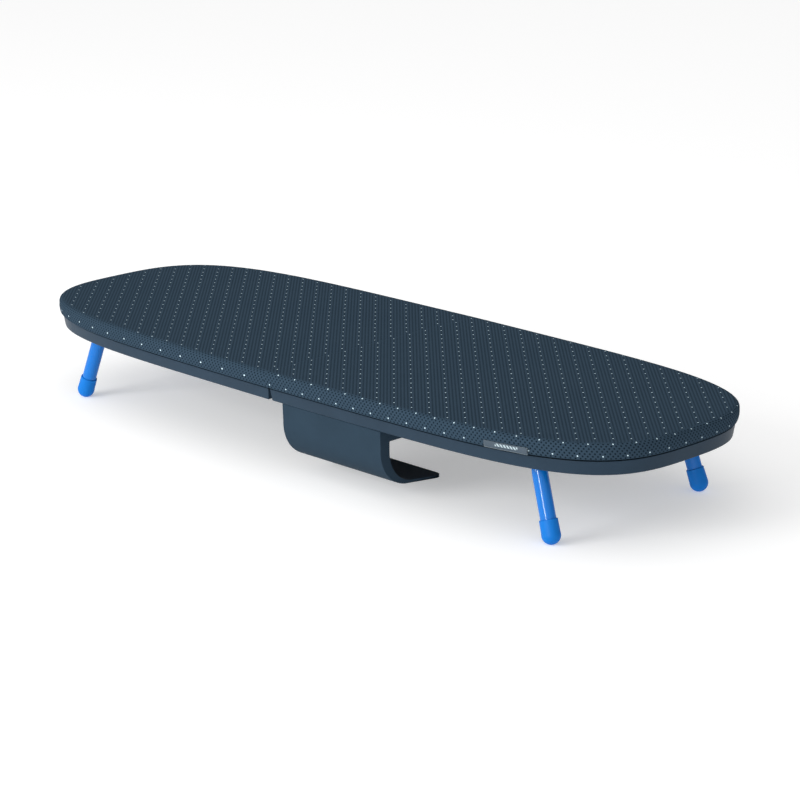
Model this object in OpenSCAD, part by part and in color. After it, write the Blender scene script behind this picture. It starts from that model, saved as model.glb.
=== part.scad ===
// Table-top ironing board that folds in half, with two folding leg frames and a hook for a door.
// Origin on the table under the middle of the board, +X along the board, +Y to the back, +Z up.

/* [Board] */
// Length of the covered board
board_len = 890; // [860:1:940]
// Width of the covered board at the fold
board_w = 324.5; // [312:0.5:340]
// Height of the ironing surface
top_z = 111.7; // [111.7:0.1:114]
// Lower edge of the cover's side band
band_z = 94.6; // [94:0.1:95]
// Lower edge of the rim
rim_z = 78.5; // [77.5:0.1:79]
// Exponent that rounds the outline's ends, lower is more pointed
end_power = 1.709; // [1.6:0.001:1.9]
// Exponent that squares the outline's sides, higher is straighter
side_power = 3.096; // [2.8:0.001:3.3]
// How much the outline fills out towards its ends
side_fill = 0.3884; // [0.3:0.0001:0.45]

/* [Cover] */
// Thickness of the cover's cloth
cloth_t = 1.2; // [0.8:0.1:1.5]
// Thickness of the foam pad
pad_t = 5.8; // [5.5:0.1:6.5]
// Width of the hem that turns in under the edge
hem_w = 6.5; // [6:0.1:7]

/* [Rim] */
// Set-back of the rim from the cloth's edge
rim_inset = 7.5; // [7.2:0.1:8]
// Thickness of the rim's wall
rim_t = 2.5; // [2:0.1:3]
// Height at which the shadow groove under the cloth starts
groove_z = 91.2; // [90.5:0.1:92]
// Depth of the shadow groove
groove_d = 1.5; // [1.2:0.1:1.6]
// How much further out the rim stands at the board's two tips
tip_flare = 3.8; // [3:0.1:4]
// Thickness of the deck
deck_t = 3; // [2.5:0.1:3.5]
// Gap between the two halves of the frame
fold_gap = 2.4; // [2:0.1:3]

/* [Fold hinge] */
// Length of the hinge across the board
hinge_len = 280; // [240:20:280]
// Radius of the hinge's knuckles
knuckle_r = 2.6; // [2.5:0.05:2.7]
// Radius of the hinge's pin
hinge_pin_r = 1.2; // [1:0.05:1.4]

/* [Legs] */
// Diameter of the leg tube
tube_d = 16; // [15:0.5:16.5]
// Wall of the leg tube
tube_wall = 1.2; // [1:0.1:2]
// Height of the legs' pivot
pivot_z = 88.5; // [88:0.1:89]
// Distance of each foot from the fold
foot_x = 360.4; // [358:0.1:363]
// Distance of each foot from the board's middle line
foot_y = 114.6; // [112:0.1:117]
// Outward lean of a leg along the board, per unit of height
lean_x = 0.345; // [0.33:0.001:0.35]
// Outward lean of a leg across the board, per unit of height
lean_y = 0.08; // [0.07:0.001:0.09]
// Radius of the bend in the tube, on its middle line
bend_r = 26; // [24:1:28]
// Radius of a foot cap
cap_r = 9.75; // [9.5:0.05:10]
// Length of a foot cap above the middle of its round end
cap_len = 15.5; // [12:0.5:18]

/* [Door hook] */
// Distance from the fold to the hook's near end
hook_x = 17.1; // [16:0.1:20]
// Width of the hook along the board
hook_w = 144.8; // [140:0.1:146]
// Outer face of the hook's plate, in front of the middle line
hook_y = 150.9; // [150:0.1:151]
// Thickness of the hook's plate and arm
hook_t = 12.9; // [12.5:0.1:13.5]
// Outer radius of the hook's bend
hook_bend = 42; // [40:0.5:43]
// Inner radius of the hook's bend
hook_inner = 37; // [36:0.5:38]
// Height of the hook's outer face under the middle of its bend
hook_low = 15; // [14.5:0.1:16]
// Tip of the hook's lip, in front of the middle line
lip_y = 56.5; // [55:0.5:60]
// Slope of the lip's lower face, in degrees
lip_slope = 6; // [5:0.5:7]
// Thickness of the lip at its tip
lip_t = 2.4; // [2:0.1:3]
// Back end of the hook's arm, in front of the middle line
arm_y = 72; // [70:1:80]

/* [Lock] */
// Width of the sliding lock bar
bar_w = 20; // [18:1:22]
// Thickness of the lock bar
bar_t = 4; // [3.5:0.1:4]
// Length of the lock bar
bar_len = 70; // [66:1:72]
// How far the lock bar slides
bar_travel = 28; // [24:1:30]

/* [Hidden] */
steps = 80;                       // stretches in half of the outline
deck_z = top_z - cloth_t - pad_t; // top of the deck
under_z = deck_z - deck_t;        // underside of the deck
pad_top = top_z - cloth_t;
hem_t = 0.8;
ledge_inset = cloth_t + 0.4;      // the deck's edge, just inside the cloth
ledge_t = 2.5;
deck_tuck = 1.5;                  // the cloth is drawn in at the tips, and the deck and ledge with it
ledge_tuck = 2.5;
hem_tuck = 2.3;
half_gap = fold_gap / 2;
hinge_z = deck_z + 0.5 + knuckle_r;
knuckles = 14;
knuckle_len = hinge_len / knuckles;
leaf_t = 1;
leaf_x = 24;                      // far edge of a hinge leaf
leaf_start = 3.6;                 // near edge, clear of the other leaf's knuckles
rivet_x = 14;
rivet_y = [-115, -70, -25, 25, 70, 115];
rivet_r = 1.6;
tube_r = tube_d / 2;
foot_centre_z = cap_r - 0.47;     // leaves a small flat under the round end
lean_h = pivot_z - foot_centre_z;
pivot_x = foot_x - lean_x * lean_h;
pivot_y = foot_y - lean_y * lean_h;
lean_angle = atan(lean_x);
spread_angle = atan(lean_y / sqrt(1 + lean_x * lean_x));
leg_len = lean_h * sqrt(1 + lean_x * lean_x + lean_y * lean_y);
turn_angle = 90 - spread_angle;   // of the tube's bend
bend_tangent = bend_r * tan(turn_angle / 2);
bend_neck = 0.05;
bend_lap = 1.2;                   // degrees
tube_short = 4;                   // the tube ends this far above the foot's middle
saddle_y = 60;
saddle_w = 20;
saddle_x = 22;                    // half the saddle's length
saddle_top = pivot_z + tube_r + 0.4;
saddle_low = rim_z + 0.4;
saddle_screw_x = 15;
stop_reach = 8;                   // from the pivot to the far side of the stop block
stop_w = 24;
run_fit = 0.05;
screw_r = 1.45;
pilot_r = 1.5;
screw_len = 12;
head_r = 3.5;
head_h = 2;
seat_z = 90.5;                    // where the small screws' heads bear
post_z = 93;                      // lower end of the deck's posts
post_r = 4;
small_post_r = 4.5;               // of the posts that carry the lock
post_inset = 17.5;
tab_r = 6.5;                      // round end of a rim tab
tab_reach = 1.5;                  // from there to the wall
tab_hole_r = 2.1;
clear_hole_r = 1.8;
end_open = 138;                   // half the width that the rim leaves open at the fold
fold_rib_z = 89.5;                // lower edge of the deck's rib at the fold, above the lock bar
fold_rib_t = 2.5;
post_angles = [-82, -60, -33, 0, 33, 60, 82];
rib_t = 2;
rib_end = 310;
rib_x = [60, 125, 190, 240, 290];
rib_y = [-90, -48, 0, 48, 90];
short_rib_y = 90;                 // ribs that leave room for the folded legs stop here
vent_r = 4;
vent_x = [92.5, 157.5, 215, 265];
vent_y = [-69, -24, 24, 69];
guide_boss_x = [26, 56];
guide_boss_y = 20;
keeper_boss_x = 22;
bar_z = 82;
bar_x = 6;                        // near end of the released lock bar
bar_play = 0.3;
guide_wall = 2.7;
sleeve_t = 2.5;                   // above and below the bar
ear_reach = 7;                    // of a sleeve's ears, past their screws
guide_x = [8, 66];
keeper_x = [8, 36];
knob_x = 44;
hook_screw_x = [hook_x + 18, hook_x + hook_w - 18];
hook_screw_y = [-135, -104];
hook_screw_r = 2;
hook_boss_r = 6;
hook_head_r = 4.2;
hook_seat_z = rim_z - 7.5;
arm_low = rim_z - hook_t;
tag_x = [304, 352];
tag_t = 0.9;
tag_z = [94.8, 101.9];
stop_clear = 0.3;
stop_tab_t = 4;
stop_tab_w = 16;
navy = [0.15, 0.21, 0.29];
slate = [0.13, 0.19, 0.26];
blue = [0.05, 0.33, 0.85];
steel = [0.7, 0.72, 0.75];

// Point of the board's outline at angle t: a superellipse that fills out towards its ends
function outline_at(t) =
    let (c = cos(t), s = sin(t), u = sign(c) * pow(abs(c), 2 / end_power))
    [board_len / 2 * u, board_w / 2 * sign(s) * pow(abs(s), 2 / side_power) * (1 + side_fill * u * u)];

// The same point moved inwards by d, square to the outline
function inset_at(t, d) =
    let (a = outline_at(t - 0.05), b = outline_at(t + 0.05), along = (b - a) / norm(b - a))
    outline_at(t) - d * [along.y, -along.x];

// Outline of the right half, moved in by d and cut off at x0, and moved in by tuck more at the tip
function half_outline(d, x0, tuck = 0) = concat(
    [[x0, d - board_w / 2]],
    [for (i = [1 : steps - 1]) let (t = 180 * i / steps - 90) inset_at(t, d + tuck * pow(cos(t), 4))],
    [[x0, board_w / 2 - d]]
);

// Points of an arc in a profile
function arc_points(centre, r, from, to, n) =
    [for (i = [0 : n]) let (a = from + (to - from) * i / n) centre + r * [cos(a), sin(a)]];

module half_slab(d, z0, z1, x0, tuck = 0) {
    translate([0, 0, z0]) linear_extrude(z1 - z0) polygon(half_outline(d, x0, tuck));
}

// A wall that follows the outline from inset d0 to d1, and crosses the board from x0 to x1
module half_wall(d0, d1, z0, z1, x0, x1, tuck0 = 0, tuck1 = 0) {
    translate([0, 0, z0]) linear_extrude(z1 - z0) difference() {
        polygon(half_outline(d0, x0, tuck0));
        polygon(half_outline(d1, x1, tuck1));
    }
}

module left_side() { mirror([1, 0, 0]) children(); }

// Places its children at each of the rim's fixing posts
module at_posts() {
    for (t = post_angles) translate(inset_at(t, post_inset)) children();
}

// Places its children at each screw of one half's saddles
module at_saddle_screws() {
    for (y = [-saddle_y, saddle_y], x = [-saddle_screw_x, saddle_screw_x]) translate([pivot_x + x, y]) children();
}

module at_guide_screws() {
    for (x = guide_boss_x, y = [-guide_boss_y, guide_boss_y]) translate([x, y]) children();
}

module at_keeper_screws() {
    for (y = [-guide_boss_y, guide_boss_y]) translate([keeper_boss_x, y]) children();
}

module at_rivets() {
    for (y = rivet_y) translate([rivet_x, y]) children();
}

module at_hook_screws() {
    for (x = hook_screw_x, y = hook_screw_y) translate([x, y]) children();
}

module post(r, z0) { translate([0, 0, z0]) cylinder(r = r, h = under_z + 0.5 - z0, $fn = 32); }

module pilot_hole() { translate([0, 0, seat_z]) cylinder(r = pilot_r, h = screw_len + 0.2, $fn = 24); }

// Stiffening ribs under the deck, in a tray that ends inside the rim
module ribs() {
    rib_low = post_z;
    rib_h = under_z + 0.5 - rib_low;
    intersection() {
        half_slab(rim_inset + rim_t + 1, rib_low, under_z + 0.5, half_gap + fold_rib_t - 0.5);
        union() {
            for (y = rib_y) translate([0, y - rib_t / 2, rib_low]) cube([rib_end, rib_t, rib_h]);
            for (x = rib_x) {
                reach = x > 200 ? short_rib_y : board_w / 2;
                translate([x - rib_t / 2, -reach, rib_low]) cube([rib_t, 2 * reach, rib_h]);
            }
        }
    }
}

// Pads that the leg saddles screw against, and the block that stops the leg frame upright
module leg_seats() {
    for (y = [-saddle_y, saddle_y])
        translate([pivot_x - saddle_x, y - saddle_w / 2, saddle_top])
            cube([2 * saddle_x, saddle_w, under_z + 0.5 - saddle_top]);
    stop_z = pivot_z + tube_r + 0.7;
    translate([pivot_x - stop_reach, -stop_w / 2, stop_z])
        cube([stop_reach - stop_tab_t / 2 - stop_clear, stop_w, under_z + 0.5 - stop_z]);
}

module vents() {
    for (x = vent_x, y = vent_y, dx = [-12, 12], dy = [-10, 10])
        translate([x + dx, y + dy, under_z - 1]) cylinder(r = vent_r, h = deck_t + 2, $fn = 32);
}

// Deck, edge ledge, ribs and posts that both halves share
module frame_half() {
    difference() {
        union() {
            half_slab(ledge_inset, under_z, deck_z, half_gap, deck_tuck);
            half_wall(ledge_inset, ledge_inset + ledge_t, band_z + 1, under_z + 0.5, half_gap, -10,
                ledge_tuck, ledge_tuck);
            ribs();
            translate([half_gap, 0.4 - end_open, fold_rib_z])
                cube([fold_rib_t, 2 * end_open - 0.8, under_z + 0.5 - fold_rib_z]);
            leg_seats();
            at_posts() post(post_r, post_z);
        }
        vents();
        at_posts() pilot_hole();
        at_saddle_screws() pilot_hole();
        at_rivets() translate([0, 0, under_z - 1]) cylinder(r = rivet_r, h = deck_t + 2, $fn = 24);
    }
}

module right_frame() {
    color(navy) difference() {
        union() {
            frame_half();
            at_guide_screws() post(small_post_r, post_z);
            at_hook_screws() post(hook_boss_r, rim_z);
        }
        at_guide_screws() pilot_hole();
        at_hook_screws() translate([0, 0, rim_z - 1]) cylinder(r = hook_screw_r + 0.05, h = 18, $fn = 24);
    }
}

module left_frame() {
    color(navy) left_side() difference() {
        union() {
            frame_half();
            at_keeper_screws() post(small_post_r, post_z);
        }
        at_keeper_screws() pilot_hole();
    }
}

// Rim that hangs from the deck, open at the fold, with a tab at each post and a groove under the cloth
module rim_half() {
    color(navy) difference() {
        union() {
            half_wall(rim_inset, rim_inset + rim_t, rim_z, groove_z, half_gap, half_gap + rim_t, -tip_flare);
            half_wall(rim_inset + groove_d, rim_inset + rim_t + 0.5, groove_z - 2, under_z,
                half_gap + groove_d, half_gap + rim_t + 0.5);
            for (t = post_angles) hull() for (d = [0, tab_reach]) translate(inset_at(t, post_inset - d))
                translate([0, 0, seat_z]) cylinder(r = tab_r, h = post_z - seat_z, $fn = 40);
        }
        at_posts() translate([0, 0, seat_z - 1]) cylinder(r = tab_hole_r, h = 5, $fn = 24);
        translate([0, -end_open, rim_z - 1]) cube([half_gap + rim_t + 1, 2 * end_open, under_z - rim_z + 2]);
    }
}

module right_rim() { rim_half(); }

module left_rim() { left_side() rim_half(); }

// Foam pad on the deck, with room under it for the hinge leaf
module pad_half() {
    color("lightgrey") difference() {
        half_slab(ledge_inset, deck_z, pad_top, leaf_start, deck_tuck);
        translate([0, -hinge_len / 2 - 2, deck_z - 1]) cube([leaf_x + 1, hinge_len + 4, 2.9]);
    }
}

module right_pad() { pad_half(); }

module left_pad() { left_side() pad_half(); }

// Cloth over the pad and down the edge, hemmed in under the ledge, open where it crosses the fold
module cover_half() {
    color(slate) difference() {
        half_slab(0, band_z, top_z, 0.1);
        half_slab(cloth_t, band_z + hem_t, pad_top, -1);
        half_slab(hem_w, band_z - 1, band_z + hem_t + 1, -1, hem_tuck);
    }
}

module right_cover() { cover_half(); }

module left_cover() { left_side() cover_half(); }

// Elastic in the hem, drawn tight behind the ledge
module elastic_half() {
    elastic_inset = ledge_inset + ledge_t + 0.4;
    color("dimgray") half_wall(elastic_inset, elastic_inset + 2, band_z + hem_t + 0.2, band_z + hem_t + 2.4, 0.3, -10,
        hem_tuck, hem_tuck);
}

module right_hem_elastic() { elastic_half(); }

module left_hem_elastic() { left_side() elastic_half(); }

// Blank woven tag sewn to the front band
module cover_tag() {
    color("gainsboro") intersection() {
        half_wall(-tag_t, 0, tag_z[0], tag_z[1], 1, 1);
        translate([tag_x[0], -board_w, 0]) cube([tag_x[1] - tag_x[0], board_w, top_z]);
    }
}

// Profile of the hook across the board: arm, plate, bend, and a lip that thins towards its tip
function hook_profile() =
    let (
        outer = [-hook_y + hook_bend, hook_low + hook_bend],
        turn = 270 - lip_slope,
        off = outer + hook_bend * [cos(turn), sin(turn)],
        tip_r = lip_t / 2,
        tip = [-lip_y - tip_r, off.y - (-lip_y - tip_r - off.x) * tan(lip_slope) + tip_r],
        inner_y = -hook_y + hook_t + hook_inner,
        lip_root = hook_low + 2.2,
        inner = [inner_y, lip_root + hook_inner]
    )
    concat(
        [[-arm_y, rim_z], [-hook_y, rim_z]],
        arc_points(outer, hook_bend, 180, turn, 14),
        arc_points(tip, tip_r, -90 - lip_slope, 90 - lip_slope, 8),
        arc_points(inner, hook_inner, turn, 180, 12),
        [[-hook_y + hook_t, arm_low], [-arm_y, arm_low]]
    );

module door_hook() {
    color(navy) difference() {
        translate([hook_x, 0, 0]) rotate([90, 0, 90]) linear_extrude(hook_w) polygon(hook_profile());
        at_hook_screws() {
            translate([0, 0, arm_low - 1]) cylinder(r = hook_head_r + 0.6, h = hook_seat_z - arm_low + 1, $fn = 32);
            translate([0, 0, arm_low]) cylinder(r = hook_screw_r + 0.3, h = hook_t + 1, $fn = 24);
        }
    }
}

module pan_screw(r, length, cap_r, cap_h) {
    cylinder(r = r, h = length, $fn = 24);
    translate([0, 0, -cap_h]) difference() {
        cylinder(r = cap_r, h = cap_h, $fn = 32);
        for (a = [0, 90]) rotate(a) translate([-cap_r * 0.6, -0.4, -1]) cube([cap_r * 1.2, 0.8, cap_h / 2 + 1]);
    }
}

module small_screw() { translate([0, 0, seat_z]) pan_screw(screw_r, screw_len, head_r, head_h); }

module hook_screws() {
    color(steel) at_hook_screws() translate([0, 0, hook_seat_z]) pan_screw(hook_screw_r, 22, hook_head_r, 3);
}

module half_screws() {
    at_posts() small_screw();
    at_saddle_screws() small_screw();
}

module right_screws() {
    color(steel) {
        half_screws();
        at_guide_screws() small_screw();
    }
}

module left_screws() {
    color(steel) left_side() {
        half_screws();
        at_keeper_screws() small_screw();
    }
}

// One leaf of the fold hinge: knuckles at every other place, from the first (0) or the second (1)
module hinge_leaf(first) {
    color(steel) difference() {
        union() {
            translate([leaf_start, -hinge_len / 2, deck_z]) cube([leaf_x - leaf_start, hinge_len, leaf_t]);
            for (i = [first : 2 : knuckles - 1]) translate([0, (i + 0.5) * knuckle_len - hinge_len / 2, 0]) {
                translate([0, 0, hinge_z]) rotate([90, 0, 0])
                    cylinder(r = knuckle_r, h = knuckle_len - 0.8, center = true, $fn = 40);
                translate([0, 0.4 - knuckle_len / 2, deck_z]) cube([leaf_start + 1, knuckle_len - 0.8, 1.5]);
            }
        }
        translate([0, 0, hinge_z]) rotate([90, 0, 0])
            cylinder(r = hinge_pin_r + run_fit, h = hinge_len + 2, center = true, $fn = 32);
        at_rivets() translate([0, 0, deck_z - 1]) cylinder(r = rivet_r, h = leaf_t + 2, $fn = 24);
    }
}

module hinge_leaf_right() { hinge_leaf(0); }

module hinge_leaf_left() { left_side() hinge_leaf(1); }

module hinge_pin() {
    color(steel) translate([0, 0, hinge_z]) rotate([90, 0, 0]) {
        cylinder(r = hinge_pin_r, h = hinge_len, center = true, $fn = 32);
        for (s = [-1, 1]) translate([0, 0, s * (hinge_len / 2 + 0.5)])
            cylinder(r = 2, h = 1, center = true, $fn = 32);
    }
}

module rivets_half() {
    color(steel) at_rivets() {
        translate([0, 0, under_z - 0.8]) cylinder(r = 2.8, h = 0.8, $fn = 32);
        translate([0, 0, under_z - 0.8]) cylinder(r = rivet_r, h = deck_t + leaf_t + 1, $fn = 24);
        translate([0, 0, deck_z + leaf_t]) cylinder(r = 2.8, h = 0.7, $fn = 32);
    }
}

module hinge_rivets_right() { rivets_half(); }

module hinge_rivets_left() { left_side() rivets_half(); }

// U-shaped tube at radius r, in the frame's own plane: crossbar, two bends and two legs.
// Each bend starts a little way inside the straight tubes and is a hair thinner than they are.
module tube_frame(r, past) {
    reach = pivot_y - bend_tangent;
    straight = leg_len - bend_tangent - tube_short + past;
    rotate([90, 0, 0]) cylinder(r = r, h = 2 * reach, center = true, $fn = 48);
    for (m = [0, 1]) mirror([0, m, 0]) {
        translate([0, reach, -bend_r]) rotate([90, 0, 90]) rotate(spread_angle - bend_lap)
            rotate_extrude(angle = turn_angle + 2 * bend_lap, $fn = 64)
                translate([bend_r, 0]) circle(r = r - bend_neck, $fn = 48);
        translate([0, pivot_y, 0]) rotate([spread_angle, 0, 0])
            translate([0, 0, -bend_tangent - straight]) cylinder(r = r, h = straight, $fn = 48);
    }
}

// Leg frame of the right end: a bent tube with a tab that meets the stop on the deck
module leg_half() {
    color(blue) translate([pivot_x, 0, pivot_z]) {
        difference() {
            rotate([0, -lean_angle, 0]) tube_frame(tube_r, 0);
            rotate([0, -lean_angle, 0]) tube_frame(tube_r - tube_wall, 1);
        }
        translate([-stop_tab_t / 2, -stop_tab_w / 2, tube_r - 0.8]) cube([stop_tab_t, stop_tab_w, 5.2]);
    }
}

module right_leg() { leg_half(); }

module left_leg() { left_side() leg_half(); }

// Saddle that holds the crossbar against the deck and lets it turn
module saddle(y) {
    color(navy) difference() {
        translate([pivot_x - saddle_x, y - saddle_w / 2, saddle_low])
            cube([2 * saddle_x, saddle_w, saddle_top - saddle_low]);
        translate([pivot_x, y, pivot_z]) rotate([90, 0, 0])
            cylinder(r = tube_r + run_fit, h = saddle_w + 2, center = true, $fn = 64);
        translate([pivot_x - tube_r - run_fit, y - saddle_w / 2 - 1, pivot_z])
            cube([2 * (tube_r + run_fit), saddle_w + 2, saddle_top]);
        for (x = [-saddle_screw_x, saddle_screw_x]) translate([pivot_x + x, y, 0]) {
            translate([0, 0, saddle_low - 1]) cylinder(r = 4.2, h = seat_z - saddle_low + 1, $fn = 32);
            translate([0, 0, seat_z - 1]) cylinder(r = clear_hole_r, h = saddle_top, $fn = 24);
        }
    }
}

module right_saddle_front() { saddle(-saddle_y); }

module right_saddle_rear() { saddle(saddle_y); }

module left_saddle_front() { left_side() saddle(-saddle_y); }

module left_saddle_rear() { left_side() saddle(saddle_y); }

// Foot cap on the end of a tube, side is -1 for the front and 1 for the back
module foot(side) {
    spread_here = side * spread_angle;
    color(blue) difference() {
        translate([foot_x, side * foot_y, foot_centre_z]) rotate([0, -lean_angle, 0])
            rotate([spread_here, 0, 0]) difference() {
                union() {
                    sphere(r = cap_r, $fn = 64);
                    translate([0, 0, 1]) cylinder(r1 = cap_r - 0.15, r2 = cap_r - 0.45, h = cap_len - 1, $fn = 64);
                }
                translate([0, 0, tube_short]) cylinder(r = tube_r, h = cap_len, $fn = 48);
            }
        translate([foot_x - 20, side * foot_y - 20, -20]) cube([40, 40, 20]);
    }
}

module right_foot_front() { foot(-1); }

module right_foot_rear() { foot(1); }

module left_foot_front() { left_side() foot(-1); }

module left_foot_rear() { left_side() foot(1); }

// Flat bar that slides across the fold and keeps it open, with a thumb knob below
module lock_bar() {
    color(steel) {
        translate([bar_x, -bar_w / 2, bar_z]) cube([bar_len, bar_w, bar_t]);
        translate([knob_x, 0, bar_z - 5]) cylinder(r = 4, h = 5.5, $fn = 32);
        translate([knob_x, 0, bar_z - 7.5]) cylinder(r = 8, h = 3, $fn = 40);
    }
}

// Sleeve around the lock bar, with ears that screw to the deck's posts
module bar_sleeve(x0, x1, ear_x0, ear_x1) {
    in_w = bar_w / 2 + bar_play;
    out_w = in_w + guide_wall;
    low = bar_z - bar_play - sleeve_t;
    high = bar_z + bar_t + bar_play + sleeve_t;
    difference() {
        union() {
            translate([x0, -out_w, low]) cube([x1 - x0, 2 * out_w, high - low]);
            for (s = [-1, 1])
                translate([ear_x0, s > 0 ? in_w : -out_w, low]) cube([ear_x1 - ear_x0, guide_wall, post_z - low]);
            for (s = [-1, 1])
                translate([ear_x0, s > 0 ? in_w : -guide_boss_y - ear_reach, seat_z])
                    cube([ear_x1 - ear_x0, guide_boss_y + ear_reach - in_w, post_z - seat_z]);
        }
        translate([x0 - 1, -in_w, bar_z - bar_play]) cube([x1 - x0 + 2, 2 * in_w, bar_t + 2 * bar_play]);
    }
}

module lock_guide() {
    slot_w = 8.8;
    color(navy) difference() {
        bar_sleeve(guide_x[0], guide_x[1], guide_x[0] + 8, guide_x[1]);
        at_guide_screws() translate([0, 0, seat_z - 1]) cylinder(r = clear_hole_r, h = 5, $fn = 24);
        translate([knob_x - bar_travel - slot_w / 2, -slot_w / 2, bar_z - 5])
            cube([bar_travel + slot_w, slot_w, 5]);
    }
}

module lock_keeper() {
    color(navy) left_side() difference() {
        bar_sleeve(keeper_x[0], keeper_x[1], keeper_x[0] + 4, keeper_x[1] - 4);
        at_keeper_screws() translate([0, 0, seat_z - 1]) cylinder(r = clear_hole_r, h = 5, $fn = 24);
    }
}

right_frame();
left_frame();
right_rim();
left_rim();
right_pad();
left_pad();
right_cover();
left_cover();
right_hem_elastic();
left_hem_elastic();
cover_tag();
door_hook();
hook_screws();
hinge_leaf_right();
hinge_leaf_left();
hinge_pin();
hinge_rivets_right();
hinge_rivets_left();
right_leg();
left_leg();
right_saddle_front();
right_saddle_rear();
left_saddle_front();
left_saddle_rear();
right_foot_front();
right_foot_rear();
left_foot_front();
left_foot_rear();
right_screws();
left_screws();
lock_bar();
lock_guide();
lock_keeper();
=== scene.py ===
"""Looks of the table-top ironing board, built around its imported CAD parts. All lengths are in metres."""

import math
from collections import namedtuple

import bmesh
import bpy
import numpy as np
from mathutils import Matrix, Vector


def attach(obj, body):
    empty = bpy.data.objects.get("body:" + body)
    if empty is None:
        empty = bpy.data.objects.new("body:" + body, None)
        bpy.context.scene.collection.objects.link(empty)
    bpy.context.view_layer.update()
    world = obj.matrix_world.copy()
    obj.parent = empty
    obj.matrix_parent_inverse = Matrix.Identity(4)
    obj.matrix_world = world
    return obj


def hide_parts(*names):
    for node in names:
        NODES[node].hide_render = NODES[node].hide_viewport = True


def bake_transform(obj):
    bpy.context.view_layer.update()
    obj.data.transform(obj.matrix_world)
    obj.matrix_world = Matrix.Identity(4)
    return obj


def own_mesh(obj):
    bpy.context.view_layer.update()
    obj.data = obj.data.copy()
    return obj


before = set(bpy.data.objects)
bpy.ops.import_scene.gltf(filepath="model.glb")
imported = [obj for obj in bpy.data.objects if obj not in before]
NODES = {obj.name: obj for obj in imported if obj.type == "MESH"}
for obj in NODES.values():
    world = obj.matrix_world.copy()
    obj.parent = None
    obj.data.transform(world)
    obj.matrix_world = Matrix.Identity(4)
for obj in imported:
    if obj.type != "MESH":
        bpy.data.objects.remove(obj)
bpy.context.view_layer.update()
MM = 0.001

# ---------------------------------------------------------------- board
HALF_LEN = 0.445
HALF_WID = 0.16225
# the outline is a superellipse, and these are its powers along and across the board
END_POWER = 1.709
SIDE_POWER = 3.096
SIDE_FILL = 0.3884  # how much fuller than that it is towards its ends
TOP_Z = 0.1117  # top of the cloth
BAND_Z = 0.0946  # lower edge of the cloth's side band
RIM_Z = 0.0785  # lower edge of the rims
CLOTH = 0.0011  # thickness of the cloth
SPINE = 0.8  # share of the half length that the cover's middle line reaches

# how the cloth's band is drawn in at the tips: from this height down, over this much of it, by this distance
TUCKS = [(0.1092, 0.0046, 0.0013), (0.1017, 0.0071, 0.0010)]

# spacing of the mesh columns along the outline
FINE_STEPS = 3000  # the outline is measured in this many steps for each quarter
FINE_POWER = 1.6  # and they are closer together at the tip
FOLD_COLUMNS = [0.0, 0.0009, 0.0025]  # distances of the first columns from the fold
FOLD_STEP, FOLD_REACH = 0.0025, 0.030  # then one in every step up to this reach
COLUMN_STEP = 0.0062  # and about this far apart in the rest

# ---------------------------------------------------------------- cloth pattern
PIN = 0.02463  # period of the white pin dots
PIN_TOP = {1: (4.28 * MM, 1.30 * MM), -1: (5.55 * MM, -4.90 * MM)}  # a pin dot of each half's top
PIN_BAND = {1: (24.0 * MM, 0.0), -1: (-29.0 * MM, 0.0105)}  # and of each half's side band
PIN_SHEAR = 0.21  # the band's rows lean by this much
PIN_STRETCH = 0.965  # pattern to cloth down the band, less than 1 where the cloth is pulled
PIN_ROW = 0.0990  # height of the right band's lower row
LEFT_PIN_START = 30.4  # distance in mm from the fold of the left band's first pin
LEFT_PIN_ROW = 0.0024  # height of the left band's row over the right band's lower one
LEFT_PIN_STRETCH = 0.9  # the same for the left band's pins
LEFT_STEP = 36  # spacing in mm of the left band's pins at the first one
LEFT_SLOW = 0.64  # mm by which it shrinks from each pin to the next
LEFT_MOST = 1290.0  # just under LEFT_STEP squared, and past the end of the band
DOTS_PER_PIN = 5  # dark dots to one period of the pins


# ================================================================ outline
def outline(t):
    """Point of the board's outline at angle t."""
    c, s = math.cos(t), math.sin(t)
    u = math.copysign(abs(c) ** (2 / END_POWER), c)
    y = math.copysign(abs(s) ** (2 / SIDE_POWER), s)
    return HALF_LEN * u, HALF_WID * y * (1 + SIDE_FILL * u * u)


def tipness(t):
    """1 at the board's two tips, 0 at the fold."""
    return math.cos(t) ** 4


def tuck(t, z):
    """How much further in the cloth's band is drawn at the tips, at height z."""
    return tipness(t) * sum(far * min(1.0, max(0.0, (top - z) / tall)) for top, tall, far in TUCKS)


def inset(t, d):
    """The outline's point at angle t, moved in by d square to the outline."""
    (ax, ay), (bx, by) = outline(t - 1e-3), outline(t + 1e-3)
    run = math.hypot(bx - ax, by - ay)
    x, y = outline(t)
    if abs(math.cos(t)) < 1e-9:
        x = 0.0
    return x - d * (by - ay) / run, y + d * (bx - ax) / run


def quarter():
    """Angles and arc lengths of the columns along the front right quarter, from the fold to the tip."""
    fine = [-math.pi / 2 * (i / FINE_STEPS) ** FINE_POWER for i in range(FINE_STEPS + 1)][::-1]
    arc = [0.0]
    for a, b in zip(fine, fine[1:]):
        (ax, ay), (bx, by) = outline(a), outline(b)
        arc.append(arc[-1] + math.hypot(bx - ax, by - ay))
    want = list(FOLD_COLUMNS)
    while want[-1] < FOLD_REACH:
        want.append(want[-1] + FOLD_STEP)
    rest = arc[-1] - want[-1]
    count = round(rest / COLUMN_STEP)
    want += [want[-1] + rest * (i + 1) / count for i in range(count)]
    angles = np.interp(want, arc, fine)
    angles[0], angles[-1] = -math.pi / 2, 0.0
    return list(map(float, angles)), list(map(float, want))


ANGLES, ARCS = quarter()
QUARTER = ARCS[-1]  # length of a quarter of the outline
N = len(ANGLES) - 1  # columns in a quarter


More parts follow.
